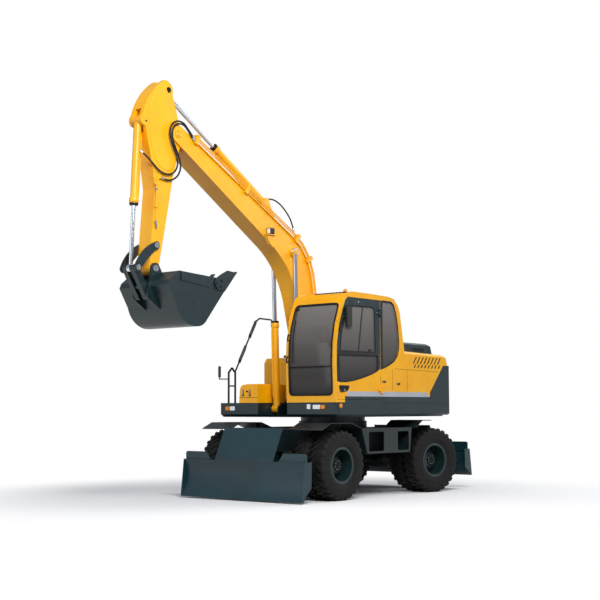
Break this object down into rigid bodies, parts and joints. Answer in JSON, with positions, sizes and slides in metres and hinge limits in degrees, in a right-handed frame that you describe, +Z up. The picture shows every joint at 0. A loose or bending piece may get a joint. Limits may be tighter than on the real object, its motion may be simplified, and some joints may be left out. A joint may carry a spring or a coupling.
{
  "type": "wheeled excavator",
  "caption": "Yellow and dark green wheeled excavator with a cranked boom, arm, bucket and linkage, cab, swing house, steered twin wheels and dozer blades front and rear.",
  "frame": {"origin": "on the floor under the centre of the machine's box in its rest pose", "axes": "+X from the tail towards the raised boom, +Y towards the cab's side, +Z up"},
  "size_m": [6.797, 2.6194, 6.1025],
  "materials": {
    "yellow": "satin yellow paint",
    "green": "satin dark green paint",
    "tyre": "matt rubber",
    "rim": "satin dark green paint",
    "chrome": "polished chrome",
    "cast": "dark cast iron",
    "glass": "tinted glass",
    "plastic": "matt black plastic",
    "seat": "dark woven seat cover"
  },
  "bodies": {
    "chassis": {"chassis_frame": "green", "slew_base": "green", "drive_axle": "green", "steer_axle": "green", "gearbox": "cast", "front_fender": "green", "rear_fender": "green", "side_step_left": "green", "side_step_right": "green"},
    "front_blade": {"front_blade": "green"},
    "front_blade_barrel": {"front_blade_barrel": "green"},
    "front_blade_rod": {"front_blade_rod": "chrome"},
    "rear_blade": {"rear_blade": "green"},
    "rear_blade_barrel": {"rear_blade_barrel": "green"},
    "rear_blade_rod": {"rear_blade_rod": "chrome"},
    "steer_left": {"knuckle_left": "cast"},
    "steer_right": {"knuckle_right": "cast"},
    "wheel_front_left": {"rim_front_left": "rim", "tyre_front_left": "tyre"},
    "wheel_front_right": {"rim_front_right": "rim", "tyre_front_right": "tyre"},
    "wheel_rear_left": {"rim_rear_left": "rim", "tyre_rear_left": "tyre"},
    "wheel_rear_right": {"rim_rear_right": "rim", "tyre_rear_right": "tyre"},
    "house": {"house_frame": "green", "counterweight": "green", "engine_hood": "yellow", "engine_block": "cast", "fuel_tank": "yellow", "tool_box": "yellow", "hand_rail": "green", "cab_shell": "yellow", "cab_glass": "glass", "seat": "seat", "console": "plastic"},
    "cab_door": {"cab_door": "yellow", "door_glass": "glass", "mirror_left": "plastic"},
    "hood_cover": {"hood_cover": "green"},
    "boom": {"boom": "yellow", "boom_pipes": "yellow", "work_lamp": "plastic"},
    "boom_barrels": {"boom_barrels": "yellow"},
    "boom_rods": {"boom_rods": "chrome"},
    "arm_barrel": {"arm_barrel": "yellow"},
    "arm_rod": {"arm_rod": "chrome"},
    "arm": {"arm": "yellow"},
    "bucket_barrel": {"bucket_barrel": "yellow"},
    "bucket_rod": {"bucket_rod": "chrome"},
    "rocker": {"rocker": "green"},
    "bucket_link": {"bucket_link": "green"},
    "bucket": {"bucket": "green"}
  },
  "joints": [
    {"name": "wheel_front_left_spin", "type": "hinge", "parent": "chassis", "child": "wheel_front_left", "pos_m": [0.1815, 0.945, 0.527], "axis": [0, 1, 0], "continuous": true},
    {"name": "wheel_front_right_spin", "type": "hinge", "parent": "chassis", "child": "wheel_front_right", "pos_m": [0.1815, -0.945, 0.527], "axis": [0, 1, 0], "continuous": true},
    {"name": "steer_left", "type": "hinge", "parent": "chassis", "child": "steer_left", "pos_m": [-2.4185, 0.6, 0.527], "axis": [0, 0, 1], "range_deg": [-12.4, 31.6]},
    {"name": "steer_right", "type": "hinge", "parent": "chassis", "child": "steer_right", "pos_m": [-2.4185, -0.6, 0.527], "axis": [0, 0, 1], "range_deg": [-12.4, 31.6]},
    {"name": "wheel_rear_left_spin", "type": "hinge", "parent": "steer_left", "child": "wheel_rear_left", "pos_m": [-2.36096, 0.94017, 0.527], "axis": [0.1668, 0.986, 0], "continuous": true},
    {"name": "wheel_rear_right_spin", "type": "hinge", "parent": "steer_right", "child": "wheel_rear_right", "pos_m": [-2.47604, -0.94017, 0.527], "axis": [0.1668, 0.986, 0], "continuous": true},
    {"name": "front_blade_lift", "type": "hinge", "parent": "chassis", "child": "front_blade", "pos_m": [0.6015, 0, 0.5], "axis": [0, -1, 0], "range_deg": [-6, 18]},
    {"name": "front_blade_barrel_swing", "type": "hinge", "parent": "chassis", "child": "front_blade_barrel", "pos_m": [0.6815, 0, 0.985], "axis": [0, -1, 0], "range_deg": [-2.11, 5.32]},
    {"name": "front_blade_rod_slide", "type": "slide", "parent": "front_blade_barrel", "child": "front_blade_rod", "axis": [0.5436, 0, -0.8393], "range_m": [-0.1107, 0.0389]},
    {"name": "rear_blade_lift", "type": "hinge", "parent": "chassis", "child": "rear_blade", "pos_m": [-2.8385, 0, 0.5], "axis": [0, 1, 0], "range_deg": [-25, 3]},
    {"name": "rear_blade_barrel_swing", "type": "hinge", "parent": "chassis", "child": "rear_blade_barrel", "pos_m": [-2.9185, 0, 0.985], "axis": [0, 1, 0], "range_deg": [-7.43, 1.33]},
    {"name": "rear_blade_rod_slide", "type": "slide", "parent": "rear_blade_barrel", "child": "rear_blade_rod", "axis": [-0.5989, 0, -0.8008], "range_m": [-0.0206, 0.1499]},
    {"name": "swing", "type": "hinge", "parent": "chassis", "child": "house", "pos_m": [-1.1185, 0, 1.18], "axis": [0, 0, 1], "continuous": true},
    {"name": "cab_door_hinge", "type": "hinge", "parent": "house", "child": "cab_door", "pos_m": [-0.7735, 1.251, 2.3], "axis": [0, 0, 1], "range_deg": [0, 150]},
    {"name": "hood_cover_hinge", "type": "hinge", "parent": "house", "child": "hood_cover", "pos_m": [-2.5345, 0, 2.288], "axis": [0, -1, 0], "range_deg": [0, 62]},
    {"name": "boom_lift", "type": "hinge", "parent": "house", "child": "boom", "pos_m": [-0.5435, -0.04, 1.84], "axis": [0, -1, 0], "range_deg": [-65, 8]},
    {"name": "boom_barrels_swing", "type": "hinge", "parent": "house", "child": "boom_barrels", "pos_m": [-0.0235, -0.04, 1.38], "axis": [0, -1, 0], "range_deg": [-60.25, 7.85]},
    {"name": "boom_rods_slide", "type": "slide", "parent": "boom_barrels", "child": "boom_rods", "axis": [0.0343, 0, 0.9994], "range_m": [-0.7311, 0.0944]},
    {"name": "arm_swing", "type": "hinge", "parent": "boom", "child": "arm", "pos_m": [2.5815, -0.04, 5.35], "axis": [0, 1, 0], "range_deg": [-83, 12]},
    {"name": "arm_barrel_swing", "type": "hinge", "parent": "boom", "child": "arm_barrel", "pos_m": [0.5665, -0.04, 4.62], "axis": [0, 1, 0], "range_deg": [-6.47, 1.36]},
    {"name": "arm_rod_slide", "type": "slide", "parent": "arm_barrel", "child": "arm_rod", "axis": [0.8502, 0, 0.5265], "range_m": [-0.836, 0.1251]},
    {"name": "bucket_curl", "type": "hinge", "parent": "arm", "child": "bucket", "pos_m": [3.0105, -0.04, 3.352], "axis": [0, 1, 0], "range_deg": [-100, 15]},
    {"name": "rocker_swing", "type": "hinge", "parent": "arm", "child": "rocker", "pos_m": [2.9965, -0.04, 3.681], "axis": [0, 1, 0], "range_deg": [-78.5, 12.2]},
    {"name": "bucket_link_swing", "type": "hinge", "parent": "rocker", "child": "bucket_link", "pos_m": [3.3365, -0.04, 3.34], "axis": [0, 1, 0], "range_deg": [-8, 50.5]},
    {"name": "bucket_barrel_swing", "type": "hinge", "parent": "arm", "child": "bucket_barrel", "pos_m": [3.2255, -0.04, 5.453], "axis": [0, 1, 0], "range_deg": [-6, 1.32]},
    {"name": "bucket_rod_slide", "type": "slide", "parent": "bucket_barrel", "child": "bucket_rod", "axis": [0.0525, 0, -0.9986], "range_m": [-0.585, 0.092]}
  ],
  "couplings": [
    {"joint": "front_blade_barrel_swing", "follows": "front_blade_lift", "ratio": 0.26772},
    {"joint": "front_blade_rod_slide", "follows": "front_blade_lift", "m_per_rad": -0.34278},
    {"joint": "rear_blade_barrel_swing", "follows": "rear_blade_lift", "ratio": 0.27707},
    {"joint": "rear_blade_rod_slide", "follows": "rear_blade_lift", "m_per_rad": -0.3367},
    {"joint": "boom_barrels_swing", "follows": "boom_lift", "ratio": 0.91926},
    {"joint": "boom_rods_slide", "follows": "boom_lift", "m_per_rad": 0.64},
    {"joint": "arm_barrel_swing", "follows": "arm_swing", "ratio": 0.07189},
    {"joint": "arm_rod_slide", "follows": "arm_swing", "m_per_rad": 0.57362},
    {"joint": "rocker_swing", "follows": "bucket_curl", "ratio": 0.78},
    {"joint": "bucket_link_swing", "follows": "bucket_curl", "ratio": -0.5},
    {"joint": "bucket_barrel_swing", "follows": "bucket_curl", "ratio": 0.055},
    {"joint": "bucket_rod_slide", "follows": "bucket_curl", "m_per_rad": 0.33232},
    {"joint": "steer_right", "follows": "steer_left", "ratio": 1}
  ]
}
